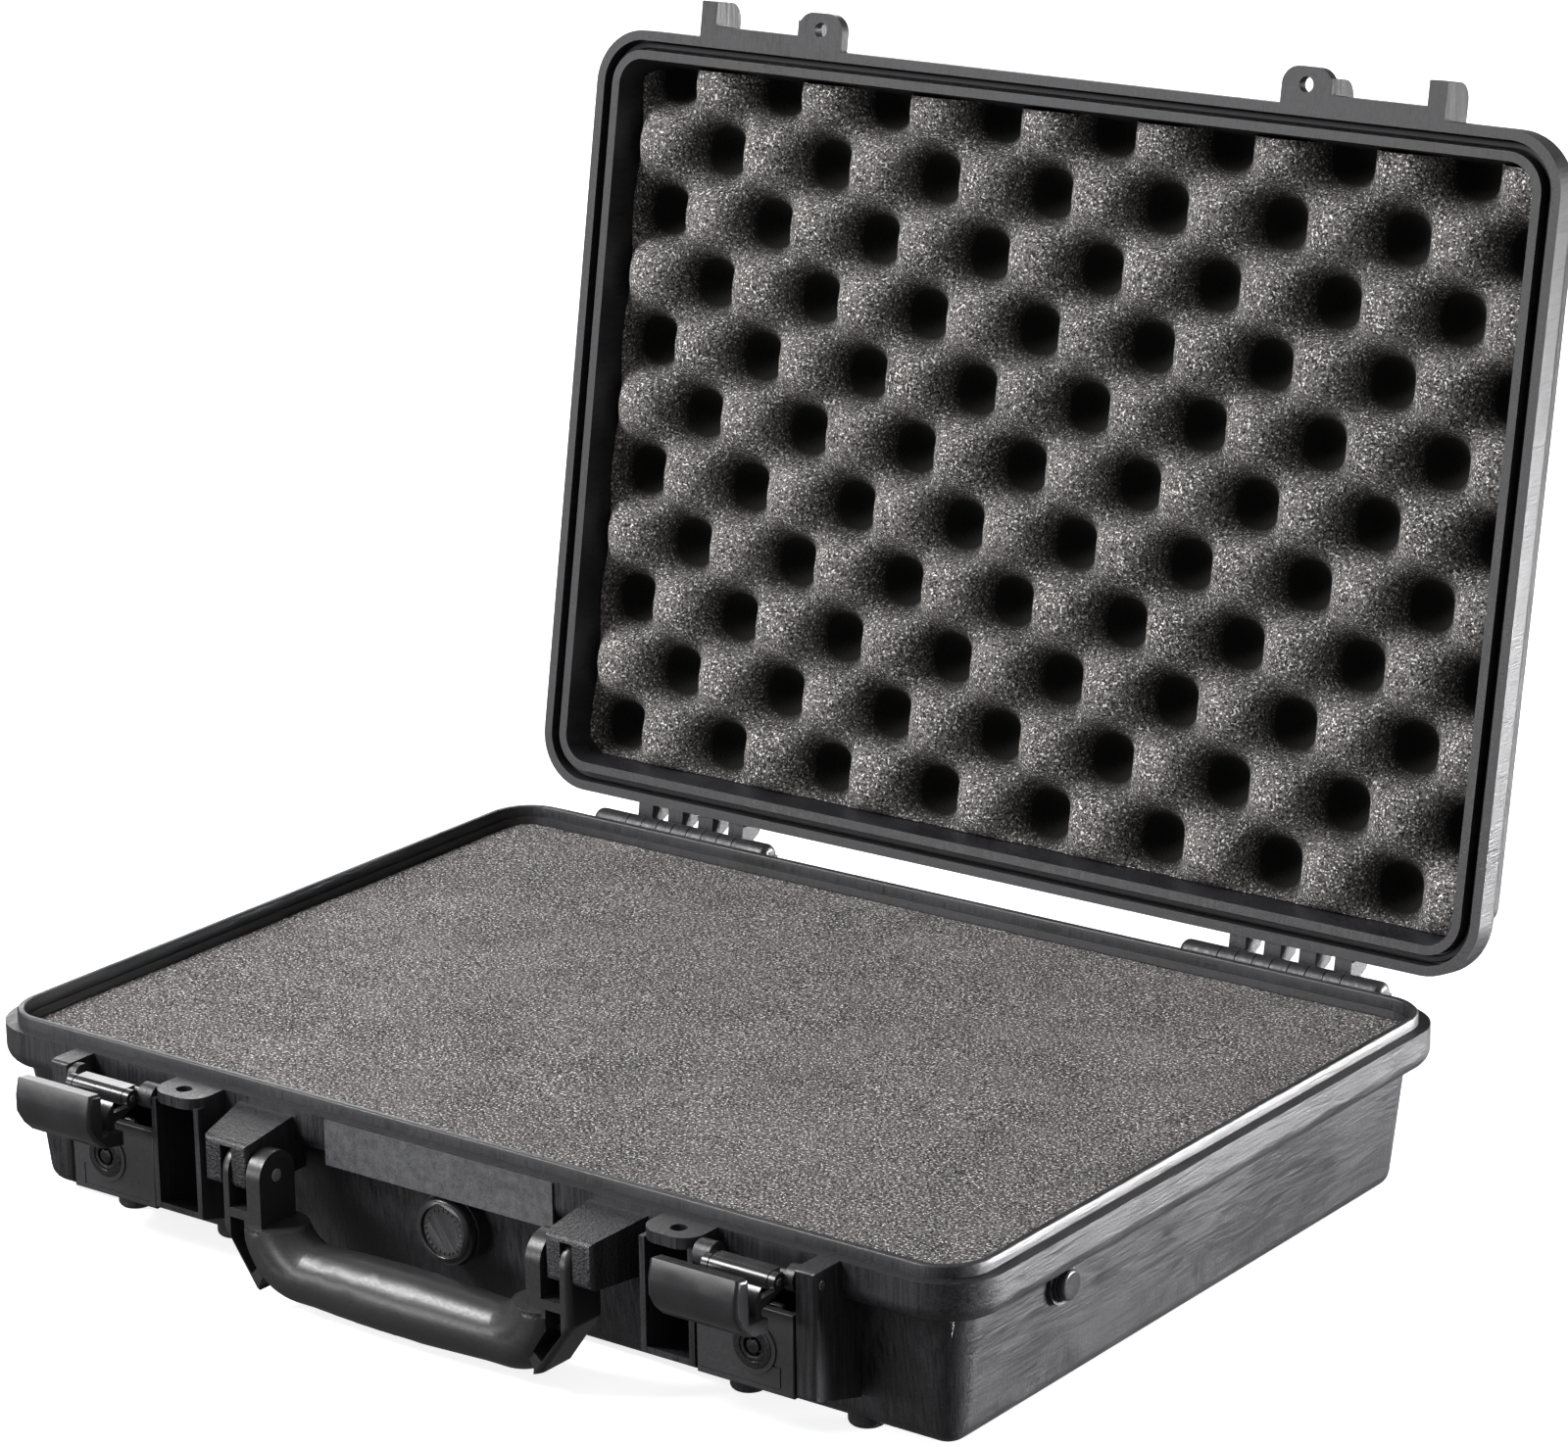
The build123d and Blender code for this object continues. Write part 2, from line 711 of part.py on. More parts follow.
def lock_plate():
    """Cover plate of the lock with a raised collar round the barrel."""
    x_span = (bay_inner_x + plate_gap, bay_outer_x - plate_gap)
    plate = block(x_span, (-plate_front, -plate_front + plate_thickness), (plate_bottom, plate_top))
    plate = fillet(edges_at(plate, Axis.Y, -plate_front), small_round)
    collar_front = -plate_front - collar_proud
    plate += rod_y(collar_front, -plate_front + plate_thickness, lock_x, lock_z, collar_radius)
    line_low = plate_bottom + engraving_margin
    line_side = lock_x + engraving_side
    line_y = (-plate_front, -plate_front + engraving_depth)
    line_x = (x_span[0] + engraving_margin, line_side)
    plate -= block(line_x, line_y, (line_low, line_low + engraving_width))
    line_top = line_low + engraving_rise
    plate -= block((line_side, line_side + engraving_width), line_y, (line_low, line_top))
    plate -= block((line_side - engraving_step, line_side), line_y, (line_top - engraving_width, line_top))
    bore = lock_radius + press_gap
    return plate - rod_y(collar_front, -plate_front + plate_thickness, lock_x, lock_z, bore)


def lock_body():
    """Barrel of the key lock, pushed into the plate."""
    front = -plate_front - lock_proud
    body = rod_y(front, front + lock_length, lock_x, lock_z, lock_radius)
    body = fillet(edges_at(body, Axis.Y, front), small_round / 2)
    return body - rod_y(front, front + lock_length, lock_x, lock_z, plug_radius + running_gap)


def lock_plug():
    """Turning plug with the ring-shaped keyway."""
    front = -plate_front - plug_proud
    back = -plate_front - lock_proud + lock_length + cam_gap
    plug = rod_y(front, back, lock_x, lock_z, plug_radius)
    keyway = rod_y(front, front + keyway_depth, lock_x, lock_z, keyway_outer_radius)
    keyway -= rod_y(front, front + keyway_depth, lock_x, lock_z, keyway_inner_radius)
    notch_x = (lock_x - key_notch / 2, lock_x + key_notch / 2)
    notch_low = lock_z + keyway_inner_radius - key_notch / 2
    notch_high = lock_z + keyway_outer_radius + key_notch / 2
    keyway += block(notch_x, (front, front + keyway_depth), (notch_low, notch_high))
    return plug - keyway


def lock_cam():
    """Cam on the back of the plug; it points up to block the link."""
    start = -plate_front - lock_proud + lock_length + cam_gap
    x_span = (lock_x - cam_width / 2, lock_x + cam_width / 2)
    cam = block(x_span, (start, start + cam_thickness), (lock_z - cam_width / 2, lock_z + cam_reach))
    return fillet(cam.edges().filter_by(Axis.Y), cam_width / 4)


def handle_pin():
    """Steel pin through the pad and both prongs of one handle arm."""
    return rod_x(inner_prong_x[0], handle_pin_end_x, -handle_pin_y, handle_pin_z, handle_pin_radius)


def elbow(bend, radius):
    """Quarter bend that turns the +X end of the grip up towards its arm."""
    start = elbow_x - bend
    section = Pos(start, -handle_pin_y, grip_z) * Rot(0, 90, 0) * Circle(radius)
    bend_axis = Axis((start, -handle_pin_y, grip_z + bend), (0, -1, 0))
    return revolve(section, bend_axis, 90)


def bent_grip():
    """Grip with both elbows: fullest in the middle, turned up at the ends."""
    curve = ThreePointArc(
        (-grip_half_length, grip_end_radius),
        (0, grip_radius),
        (grip_half_length, grip_end_radius),
    )
    edge = Polyline(
        (grip_half_length, grip_end_radius),
        (grip_half_length, 0),
        (-grip_half_length, 0),
        (-grip_half_length, grip_end_radius),
    )
    body = Pos(0, -handle_pin_y, grip_z) * revolve(make_face(curve + edge), Axis.X)
    heel_x = elbow_x - heel_bend
    body += both_sides(rod_x(grip_half_length, heel_x, -handle_pin_y, grip_z, grip_end_radius))
    body += both_sides(elbow(heel_bend, grip_end_radius))
    return body + both_sides(elbow(elbow_bend, grip_end_radius - elbow_step))


def seam_side():
    """Everything outwards of the seam between the grip and the +X arm."""
    low = grip_z - elbow_bend
    high = handle_pin_z - arm_straight
    profile = [
        (elbow_x + seam_top_reach - prong_offset, high),
        (elbow_x + seam_top_reach - prong_offset, handle_pin_z - seam_knee_drop),
        (elbow_x - prong_offset - seam_waist_reach, handle_pin_z - seam_waist_drop),
        (elbow_x + seam_toe_reach, handle_pin_z - seam_toe_drop),
        (elbow_x - prong_offset, low),
        (elbow_x + elbow_bend, low),
        (elbow_x + elbow_bend, high),
    ]
    return front_prism(profile, -handle_pin_y - elbow_bend, -handle_pin_y + elbow_bend)


def handle_arm():
    """Forked arm at the +X end of the handle, with its window."""
    x_span = (inner_prong_x[0], outer_prong_x[1])
    y_span = (-handle_pin_y - eye_radius, -handle_pin_y + eye_radius)
    straight_low = handle_pin_z - arm_straight
    arm = rod_x(x_span[0], x_span[1], -handle_pin_y, handle_pin_z, eye_radius)
    arm += block(x_span, y_span, (straight_low, handle_pin_z))
    foot_profile = [
        (x_span[0], straight_low),
        (x_span[1], straight_low),
        (x_span[1], straight_low - arm_skirt),
        (elbow_x + arm_toe_reach, handle_pin_z - arm_toe_drop),
        (elbow_x - arm_sole_reach, handle_pin_z - arm_sole_drop),
        (elbow_x - arm_sole_reach, grip_z),
    ]
    arm += front_prism(foot_profile, y_span[0], y_span[1])
    for side_y in y_span:
        rim = edges_at(arm, Axis.Y, side_y).filter_by_position(Axis.X, x_span[0], x_span[1])
        outer_rim = [edge for edge in rim if edge.center().X > inner_prong_x[1] and not is_along_x(edge)]
        arm = fillet(outer_rim, arm_round)
    inner_low = (elbow_x - elbow_bend, elbow_x + elbow_bend)
    reach_y = (-handle_pin_y - elbow_bend, -handle_pin_y + elbow_bend)
    inner_part = block(inner_low, reach_y, (grip_z - elbow_bend, straight_low)) - seam_side()
    arm -= inner_part
    arm += bent_grip() & seam_side()
    fork_low = handle_pin_z - fork_depth
    fork_top = handle_pin_z + eye_radius + cut_past
    arm -= block((inner_prong_x[1], outer_prong_x[0]), y_span, (fork_low, fork_top))
    window_top = fork_low - arm_window
    window_inner = inner_prong_x[1] + arm_window / 2
    toe_z = handle_pin_z - window_toe_drop
    window = [
        (window_inner, window_top),
        (outer_prong_x[0], window_top),
        (outer_prong_x[0], handle_pin_z - window_knee_drop),
        (elbow_x + window_toe_reach, toe_z),
        (elbow_x + window_toe_reach - window_toe_width, toe_z + window_toe_width),
        (window_inner, handle_pin_z - window_knee_drop),
    ]
    arm -= front_prism(window, y_span[0] - elbow_bend, y_span[1] + elbow_bend)
    bore = handle_pin_radius + running_gap
    return arm - rod_x(x_span[0], x_span[1], -handle_pin_y, handle_pin_z, bore)


def grip_core():
    """Rod of the frame that runs inside the grip from arm to arm."""
    reach = grip_half_length + grip_core_margin
    return rod_x(-reach, reach, -handle_pin_y, grip_z, grip_core_radius)


def handle_frame():
    """Both arms and the core that runs through the grip."""
    return both_sides(handle_arm()) + grip_core()


def handle_grip():
    """Rubber grip moulded over the core and up into both elbows."""
    reach_x = (-elbow_x - elbow_bend, elbow_x + elbow_bend)
    reach_y = (-handle_pin_y - elbow_bend, -handle_pin_y + elbow_bend)
    below_seam = block(reach_x, reach_y, (grip_z - elbow_bend, handle_pin_z - arm_straight))
    grip = bent_grip() & below_seam
    grip -= both_sides(seam_side())
    return grip - grip_core()


def valve_body():
    """Flanged body of the pressure valve with its threaded stem."""
    seat = -valve_front + valve_flange
    body = rod_y(-valve_front, seat, 0, valve_z, valve_radius)
    body = chamfer(edges_at(body, Axis.Y, -valve_front), small_round * 2)
    body += rod_y(seat, seat + valve_stem_length, 0, valve_z, valve_stem_radius)
    recess_end = -valve_front + valve_flange / 2
    return body - rod_y(-valve_front, recess_end, 0, valve_z, valve_face_radius + press_gap)


def valve_face():
    """Front disc of the valve with a ring of small ribs."""
    back = -valve_front + valve_flange / 2
    front = -valve_front + valve_flange / 4
    face = rod_y(front, back, 0, valve_z, valve_face_radius)
    rib_x = (-small_round / 2, small_round / 2)
    rib = block(rib_x, (front - small_round / 2, front), (-small_round, small_round))
    rib_ring = Pos(0, 0, valve_face_radius - 2 * small_round) * rib
    for index in range(valve_rib_count):
        face += Pos(0, 0, valve_z) * Rot(0, index * 360 / valve_rib_count, 0) * rib_ring
    return face


def valve_seal():
    """O-ring between the valve and its seat."""
    seat = -valve_front + valve_flange
    half = valve_seal_section / 2 - press_gap
    ring = Torus(valve_seal_radius, half)
    return Pos(0, seat + valve_seal_section / 2, valve_z) * Rot(90, 0, 0) * ring


def strap_washer():
    """Washer under a strap stud on the end wall."""
    outer_x = stud_face_x + stud_washer
    bore = stud_shank_radius + press_gap
    washer = rod_x(stud_face_x, outer_x, -stud_y, stud_z, stud_washer_radius)
    return washer - rod_x(stud_face_x, outer_x, -stud_y, stud_z, bore)


def strap_stud():
    """Domed stud that closes the strap hole in the end wall."""
    start = stud_face_x + stud_washer
    head = rod_x(start, start + stud_height, -stud_y, stud_z, stud_radius)
    head = fillet(edges_at(head, Axis.X, start + stud_height), small_round * 2)
    return head + rod_x(stud_face_x - stud_shank_length, start, -stud_y, stud_z, stud_shank_radius)


single_pieces = {
    "base_shell": base_shell(),
    "base_foam": base_foam(),
    "floor_pad": floor_pad(),
    "lid_shell": opened(closed_lid_shell()),
    "lid_gasket": opened(closed_gasket()),
    "lid_foam": opened(closed_lid_foam()),
    "handle_frame": handle_frame(),
    "handle_grip": handle_grip(),
    "valve_body": valve_body(),
    "valve_face": valve_face(),
    "valve_seal": valve_seal(),
}

paired_pieces = {
    "hinge_pin": hinge_pin(),
    "latch_pin": latch_pin(),
    "latch_link": latch_link(),
    "link_pin": link_pin(),
    "latch_claw": latch_claw(),
    "lock_plate": lock_plate(),
    "lock_body": lock_body(),
    "lock_plug": lock_plug(),
    "lock_cam": lock_cam(),
    "handle_pin": handle_pin(),
    "strap_washer": strap_washer(),
    "strap_stud": strap_stud(),
}

os.makedirs("parts", exist_ok=True)
for name, piece in single_pieces.items():
    export_step(piece, f"parts/{name}.step")
for name, piece in paired_pieces.items():
    export_step(piece, f"parts/{name}_r.step")
    export_step(mirrored(piece), f"parts/{name}_l.step")
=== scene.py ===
import bmesh
import bpy
import json
from math import cos, pi, radians
from mathutils import Matrix, Vector, noise

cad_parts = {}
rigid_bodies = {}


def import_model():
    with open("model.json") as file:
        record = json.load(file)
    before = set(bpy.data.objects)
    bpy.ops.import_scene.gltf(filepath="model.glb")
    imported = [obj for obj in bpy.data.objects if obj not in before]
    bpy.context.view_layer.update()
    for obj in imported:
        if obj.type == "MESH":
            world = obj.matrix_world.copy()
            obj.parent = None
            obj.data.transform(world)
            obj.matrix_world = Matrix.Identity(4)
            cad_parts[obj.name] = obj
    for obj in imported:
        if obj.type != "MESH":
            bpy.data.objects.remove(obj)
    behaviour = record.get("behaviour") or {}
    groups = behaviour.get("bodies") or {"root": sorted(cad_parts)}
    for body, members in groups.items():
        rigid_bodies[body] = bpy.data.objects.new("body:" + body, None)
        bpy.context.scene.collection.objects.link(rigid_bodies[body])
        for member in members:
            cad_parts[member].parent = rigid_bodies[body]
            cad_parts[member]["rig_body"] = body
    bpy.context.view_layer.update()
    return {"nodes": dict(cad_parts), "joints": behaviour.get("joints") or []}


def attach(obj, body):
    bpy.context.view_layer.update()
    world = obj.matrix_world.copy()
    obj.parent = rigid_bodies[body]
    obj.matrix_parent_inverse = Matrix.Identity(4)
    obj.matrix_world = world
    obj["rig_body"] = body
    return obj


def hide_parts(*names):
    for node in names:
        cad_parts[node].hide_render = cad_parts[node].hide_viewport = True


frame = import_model()
nodes = frame["nodes"]


# ---------------------------------------------------------------- tray and lid
# Two injection-moulded polypropylene shells, black, semi-matt, with the fine
# drag lines that the filled melt leaves on the walls. Lid and tray share one
# finish; the moulded edges are softly broken.

class Signal:
    """A value in a finish; arithmetic and comparisons add Math nodes."""

    def __init__(self, finish, socket):
        self.finish = finish
        self.socket = socket

    def combined(self, operation, other):
        return self.finish.node("ShaderNodeMath", {"operation": operation}, {0: self, 1: other})

    def __add__(self, other):
        return self.combined("ADD", other)

    def __mul__(self, other):
        return self.combined("MULTIPLY", other)

    def __gt__(self, other):
        return self.combined("GREATER_THAN", other)

    def __lt__(self, other):
        return self.combined("LESS_THAN", other)


class Finish:
    """One material under construction, built round its Principled shader."""

    def __init__(self, name, color, roughness, metallic=0.0, **constants):
        self.material = bpy.data.materials.new(name)
        self.material.use_nodes = True
        self.tree = self.material.node_tree
        self.shader = self.tree.nodes["Principled BSDF"]
        self.shader.inputs["Base Color"].default_value = (*color, 1.0)
        self.shader.inputs["Roughness"].default_value = roughness
        self.shader.inputs["Metallic"].default_value = metallic
        for socket, value in constants.items():
            self.shader.inputs[socket.replace("_", " ")].default_value = value

    def node(self, kind, settings=None, sockets=None, output=0):
        """Adds a node: its settings first, then values or links of sockets."""
        made = self.tree.nodes.new(kind)
        for key, value in (settings or {}).items():
            setattr(made, key, value)
        for key, value in (sockets or {}).items():
            if isinstance(value, Signal):
                self.tree.links.new(value.socket, made.inputs[key])
            else:
                made.inputs[key].default_value = value
        return Signal(self, made.outputs[output])

    def feed(self, socket, signal):
        """Leads a signal to one of the shader's sockets."""
        self.tree.links.new(signal.socket, self.shader.inputs[socket])

    def along(self, axis):
        """One of the object coordinates on its own."""
        spot = self.node("ShaderNodeTexCoord", output="Object")
        return self.node("ShaderNodeSeparateXYZ", None, {0: spot}, output=axis)

    def grain(self, size, detail=2.0, roughness=0.5, distortion=0.0, scale=(1, 1, 1), turn=(0, 0, 0)):
        """Noise whose grains are about this size, in metres; scale and turn draw it out."""
        spot = self.node("ShaderNodeTexCoord", output="Object")
        drawn_out = {"Vector": spot, "Scale": scale, "Rotation": turn}
        sockets = {
            "Vector": self.node("ShaderNodeMapping", None, drawn_out),
            "Scale": 1.0 / size,
            "Detail": detail,
            "Roughness": roughness,
            "Distortion": distortion,
        }
        return self.node("ShaderNodeTexNoise", None, sockets)

    def shaped(self, signal, low, high, to_low=0.0, to_high=1.0):
        """A signal stretched from one range to another, and clamped."""
        sockets = {"Value": signal, 1: low, 2: high, 3: to_low, 4: to_high}
        return self.node("ShaderNodeMapRange", {"clamp": True}, sockets)

    def mixed(self, factor, first, second):
        """Colour between two colours."""
        return self.node("ShaderNodeMix", {"data_type": "RGBA"}, {0: factor, 6: first, 7: second}, output=2)

    def varied(self, signal, smoothest, roughest, dark, light):
        """Lets roughness and colour drift with a signal."""
        self.feed("Roughness", self.shaped(signal, 0.3, 0.7, smoothest, roughest))
        self.feed("Base Color", self.mixed(signal, (*dark, 1), (*light, 1)))

    def relief(self, height, depth, strength=1.0):
        """Turns a height into small bumps of this depth, in metres."""
        sockets = {"Height": height, "Distance": depth, "Strength": strength}
        self.feed("Normal", self.node("ShaderNodeBump", None, sockets))


def shell_finish(name):
    """Black polypropylene: drag lines down the front, sweeping on the ends."""
    front_wall_x, end_wall_x = 0.1987, 0.2049
    pad_inner_x, pad_outer_x, pad_front_y = 0.0640, 0.0917, -0.1535
    panel_half, panel_face_y, panel_bottom = 0.0500, -0.1522, 0.0479
    tongue_edge, tongue_back = 0.0690, 0.1515
    finish = Finish(name, (0.013, 0.013, 0.014), 0.42, Specular_IOR_Level=0.5)
    drawn_down, drawn_back, swept_up = (1.0, 1.0, 0.045), (1.0, 0.07, 1.0), (0.22, 0, 0)

    down = finish.grain(0.0011, detail=4.0, roughness=0.62, distortion=0.25, scale=drawn_down)
    sweep = finish.grain(0.0009, 3.0, roughness=0.55, distortion=0.5, scale=drawn_back, turn=swept_up)
    cloudy = finish.grain(0.045, detail=3.0, roughness=0.55, distortion=0.8)
    pebble = finish.grain(0.0007, roughness=0.6)
    x, y, z = (finish.along(axis) for axis in range(3))
    from_middle = x * x
    end_wall = finish.shaped(from_middle, front_wall_x**2, end_wall_x**2)
    lines = finish.node("ShaderNodeMix", {"data_type": "FLOAT"}, {0: end_wall, 2: down, 3: sweep})
    finish.feed("Roughness", finish.shaped(lines * 0.75 + cloudy * 0.25, 0.36, 0.64, 0.30, 0.54))

    # Painted sheen: the front panel is coloured lighter than the walls to stand in for the sheen the light
    # gives it.
    over_panel = (from_middle < panel_half**2) * (y < panel_face_y) * (z > panel_bottom)
    # Painted highlight: a lighter band along the top of the tray's tongue stands in for the bright line the
    # light draws on its edge.
    painted_tongue_highlight = (z > tongue_edge) * (y < tongue_back)
    tone = finish.shaped(lines * 0.45 + pebble * 0.3 + cloudy * 0.25, 0.38, 0.66)
    plain = finish.mixed(tone, (0.006, 0.006, 0.0065, 1), (0.036, 0.035, 0.040, 1))
    # The lighter, mottled colour used on the panel and the tongue top is painted sheen and painted
    # highlight.
    mottle = finish.shaped(finish.grain(0.0035, detail=4.0, roughness=0.7) * 0.6 + pebble * 0.4, 0.38, 0.64)
    painted_sheen = finish.mixed(mottle, (0.052, 0.052, 0.057, 1), (0.115, 0.115, 0.124, 1))
    finish.feed("Base Color", finish.mixed(over_panel + painted_tongue_highlight * tone * 0.4, plain, painted_sheen))

    over_pad = (from_middle > pad_inner_x**2) * (from_middle < pad_outer_x**2) * (y < pad_front_y)
    coarse = finish.grain(0.0011, roughness=0.55)
    finish.relief(lines * 0.7 + pebble * 0.35 + coarse * over_pad * 2.4, depth=0.00022, strength=0.85)
    return finish.material


def moulded(node, material, edge=0.0004, flats=False):
    """Copy of a CAD node with joined faces, broken edges and its finish.

    flats keeps broad flat faces evenly shaded up to their rounded edges.
    """
    crease = radians(50)
    same_point, same_plane = 0.000002, radians(0.4)
    source = nodes[node]
    mesh = source.data.copy()
    mesh.name = node + "_skin"
    shape = bmesh.new()
    shape.from_mesh(mesh)
    bmesh.ops.remove_doubles(shape, verts=shape.verts, dist=same_point)
    bmesh.ops.dissolve_limit(
        shape, angle_limit=same_plane, verts=shape.verts, edges=shape.edges, use_dissolve_boundaries=False
    )
    shape.to_mesh(mesh)
    shape.free()
    mesh.shade_smooth()
    mesh.set_sharp_from_angle(angle=crease)
    mesh.materials.clear()
    mesh.materials.append(material)
    piece = bpy.data.objects.new(node + "_skin", mesh)
    bpy.context.scene.collection.objects.link(piece)
    if edge:
        bevel = piece.modifiers.new("broken_edges", "BEVEL")
        bevel.limit_method = "ANGLE"
        bevel.angle_limit = crease
        bevel.width = edge
        bevel.segments = 2
    if flats:
        even = piece.modifiers.new("flat_faces_first", "WEIGHTED_NORMAL")
        even.mode = "FACE_AREA"
        even.keep_sharp = True
    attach(piece, source["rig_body"])
    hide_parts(node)
    return piece


shell_black = shell_finish("moulded_black")
for shell in ("base_shell", "lid_shell"):
    moulded(shell, shell_black, edge=0.0006, flats=True)


# ------------------------------------------------------------------- lid seal
# A soft black cord of closed-cell rubber, pressed into the groove round the
# lid; the tongue of the tray closes on it.
seal_rubber = Finish("seal_rubber", (0.012, 0.012, 0.012), 0.62)
seal_grain = seal_rubber.grain(0.0008)
seal_rubber.varied(seal_grain, 0.56, 0.68, (0.009, 0.009, 0.009), (0.015, 0.015, 0.015))
seal_rubber.relief(seal_grain, depth=0.00005, strength=0.4)
moulded("lid_gasket", seal_rubber.material, edge=0.0)


# ------------------------------------------------------------------ tray foam
# A charcoal slab of open-cell polyurethane, cut square and pushed into the
# tray a little under the rim. The pale specks where its cut cells catch the
# light are painted highlights in its colour.

def foam_finish(name, dull, bright):
    """Open-cell foam: dark cells, pale struts and a few painted highlights for the sparkling windows.

    The "pit" attribute, 0 on the peg tops and 1 in the pits, sets a painted shade that darkens the pits
    towards black.
    """
    finish = Finish(name, dull, 0.95, Specular_IOR_Level=0.2)
    cells = finish.grain(0.0010, detail=3.0, roughness=0.75)
    blotches = finish.grain(0.026)
    sparks = finish.grain(0.0009, detail=1.0, roughness=0.4)
    tone = finish.shaped(cells * 0.9 + blotches * 0.1, 0.42, 0.60)
    body = finish.mixed(tone, (*dull, 1), (*bright, 1))
    # Painted highlight: near-white specks in the colour stand in for glints of light on the cut cell
    # windows.
    painted_glint = finish.shaped(sparks, 0.61, 0.68)
    glinted_body = finish.mixed(painted_glint, body, (0.95, 0.92, 0.90, 1))
    # Painted shade: the deeper a point lies in a pit, the nearer its colour goes to black, for the shade
    # the pegs cast into the pits.
    pit = finish.node("ShaderNodeAttribute", {"attribute_name": "pit"}, output=2)
    shade = finish.shaped(pit, 0.15, 0.60)
    finish.feed("Base Color", finish.mixed(shade, glinted_body, (0.006, 0.0055, 0.005, 1)))
    finish.relief(cells, depth=0.0010, strength=0.9)
    return finish.material


def foam_slab(name, node, height, columns, rows, margin, material, deepest=1.0, open_angle=0.0):
    """Foam block on a grid: its top follows height(x, y), its sides are cut.

    A block in the open lid is made in the closed position and turned back.
    """
    side_lean = 0.13
    turn = Matrix.Identity(4)
    if open_angle:
        hinge = next(joint for joint in frame["joints"] if joint["name"] == "lid_hinge")
        pivot = Matrix.Translation(Vector(hinge["pos_m"]))
        turn = pivot @ Matrix.Rotation(open_angle, 4, "X") @ pivot.inverted()
    corners = [turn @ v.co for v in nodes[node].data.vertices]
    low = Vector([min(c[i] for c in corners) for i in range(3)])
    high = Vector([max(c[i] for c in corners) for i in range(3)])
    face_z, back_z = (low.z, high.z) if open_angle else (high.z, low.z)
    half = Vector(((high.x - low.x) / 2 - margin, (high.y - low.y) / 2 - margin, 0))
    shape = bmesh.new()
    bmesh.ops.create_grid(shape, x_segments=columns, y_segments=rows, size=1.0)
    pit_layer = shape.verts.layers.float.new("pit")
    border = [edge for edge in shape.edges if edge.is_boundary]
    for vert in shape.verts:
        vert.co = Vector((vert.co.x * half.x, vert.co.y * half.y, 0.0))
        depth = height(vert.co.x, vert.co.y)
        vert.co.z = face_z + depth
        vert[pit_layer] = max(0.0, depth) / deepest
    made = bmesh.ops.extrude_edge_only(shape, edges=border)["geom"]
    skirt = [item for item in made if isinstance(item, bmesh.types.BMVert)]
    inward = 1.0 - abs(back_z - face_z) * side_lean / half.y
    for vert in skirt:
        vert.co = Vector((vert.co.x * inward, vert.co.y * inward, back_z))
    bmesh.ops.contextual_create(shape, geom=[edge for edge in shape.edges if edge.is_boundary])
    bmesh.ops.recalc_face_normals(shape, faces=shape.faces)
    bmesh.ops.transform(shape, matrix=turn.inverted(), verts=shape.verts)
    mesh = bpy.data.meshes.new(name)
    shape.to_mesh(mesh)
    shape.free()
    mesh.shade_smooth()
    mesh.set_sharp_from_angle(angle=radians(50))
    mesh.materials.append(material)
    piece = bpy.data.objects.new(name, mesh)
    bpy.context.scene.collection.objects.link(piece)
    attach(piece, nodes[node]["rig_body"])
    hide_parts(node)
    return piece


def flat_height(x, y):
    """The cut face of the slab is flat to a few tenths of a millimetre."""
    sunk, waviness, waves_per_metre = 0.0003, 0.00025, 30
    return waviness * noise.noise(Vector((x * waves_per_metre, y * waves_per_metre, 0.0))) - sunk


foam_grey = foam_finish("charcoal_foam", (0.018, 0.017, 0.016), (0.285, 0.268, 0.262))
foam_slab("tray_foam", "base_foam", flat_height, columns=120, rows=90, margin=0.0004, material=foam_grey)
foam_slab(
    "tray_floor_foam", "floor_pad", lambda x, y: 0.0, columns=2, rows=2, margin=0.0004, material=foam_grey
)


# ------------------------------------------------------------------- lid foam
# Convoluted foam, cut between profiled rollers so that rounded pegs and deep
# pits alternate on a 50 mm pitch; glued into the lid with the pegs outwards.
lid_open_angle = radians(99.7)
peg_pitch_x = 0.0513
peg_pitch_y = 0.0520
peg_offset_x = 0.0169
peg_offset_y = -0.0038
pit_depth = 0.028
peg_fullness = 1.6


def peg_height(x, y):
    """Depth below the peg tops: broad rounded pegs and narrower pits."""
    wave = cos(2 * pi * (x - peg_offset_x) / peg_pitch_x) * cos(2 * pi * (y - peg_offset_y) / peg_pitch_y)
    rise = (wave + 1.0) / 2.0
    return pit_depth * (1.0 - rise) ** peg_fullness


foam_slab(
    "lid_pegs", "lid_foam", peg_height, columns=240, rows=170, margin=0.0006, material=foam_grey,
    deepest=pit_depth, open_angle=lid_open_angle
)


# ---------------------------------------------------------- hinges and latches
# Drawn stainless pins join the shells; the links and claws of the latches are
# glass-filled nylon, polished black.
pin_steel = Finish("drawn_steel", (0.62, 0.60, 0.57), 0.28, metallic=1.0)
drawn = pin_steel.grain(0.0007, scale=(0.05, 1, 1))
pin_steel.varied(drawn, 0.20, 0.38, (0.50, 0.48, 0.45), (0.74, 0.72, 0.69))

gloss_black = Finish("polished_black", (0.008, 0.008, 0.009), 0.16, Specular_IOR_Level=0.55)
flow = gloss_black.grain(0.012, detail=3.0)
gloss_black.varied(flow, 0.18, 0.30, (0.016, 0.016, 0.017), (0.028, 0.028, 0.030))
gloss_black.relief(gloss_black.grain(0.004), depth=0.00015, strength=0.25)

for side in "rl":
    for pin in ("hinge_pin_", "latch_pin_", "link_pin_"):
        moulded(pin + side, pin_steel.material, edge=0.0002)
    moulded("latch_link_" + side, gloss_black.material, edge=0.0003, flats=True)
    moulded("latch_claw_" + side, gloss_black.material, edge=0.0007, flats=True)


